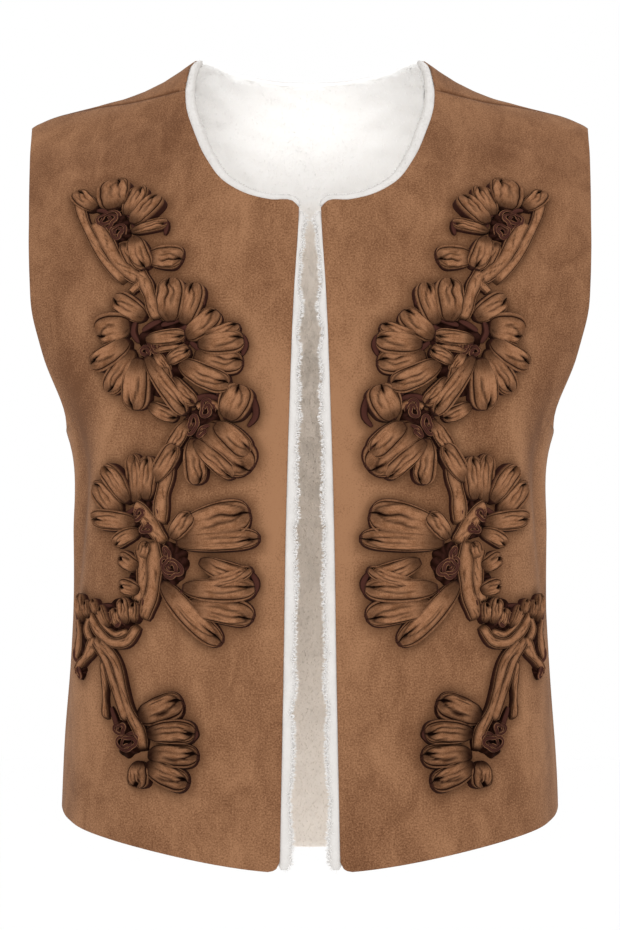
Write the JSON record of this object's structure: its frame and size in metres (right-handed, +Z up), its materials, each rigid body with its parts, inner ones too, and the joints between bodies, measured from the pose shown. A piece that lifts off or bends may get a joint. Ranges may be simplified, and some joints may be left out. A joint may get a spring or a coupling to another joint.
{
  "type": "worn teddy vest",
  "caption": "Sleeveless open-front vest worn on a general figure: suede outside, thick plush lining showing at neck and front edges, ribbon-work flower trail on each front.",
  "frame": {"origin": "midway between the wearer's shoulders, at the height where the lining rests on them at mid-shoulder", "axes": "+Z up, the front faces -Y, +X towards the wearer's left"},
  "size_m": [0.416, 0.2264, 0.5954],
  "materials": {
    "suede": "matt brushed nap",
    "ribbon": "matt brushed nap, darker in the folds",
    "plush": "soft deep pile"
  },
  "bodies": {
    "root": {"front_left": "suede", "front_right": "suede", "back": "suede", "lining_front_left": "plush", "lining_front_right": "plush", "lining_back": "plush", "flower_top_left": "ribbon", "flower_top_right": "ribbon", "flower_big_left": "ribbon", "flower_big_right": "ribbon", "flower_mid_left": "ribbon", "flower_mid_right": "ribbon", "flower_shell_left": "ribbon", "flower_shell_right": "ribbon", "flower_fan_left": "ribbon", "flower_fan_right": "ribbon", "flower_berries_left": "ribbon", "flower_berries_right": "ribbon", "flower_leaf_left": "ribbon", "flower_leaf_right": "ribbon", "flower_low_left": "ribbon", "flower_low_right": "ribbon"}
  },
  "joints": []
}
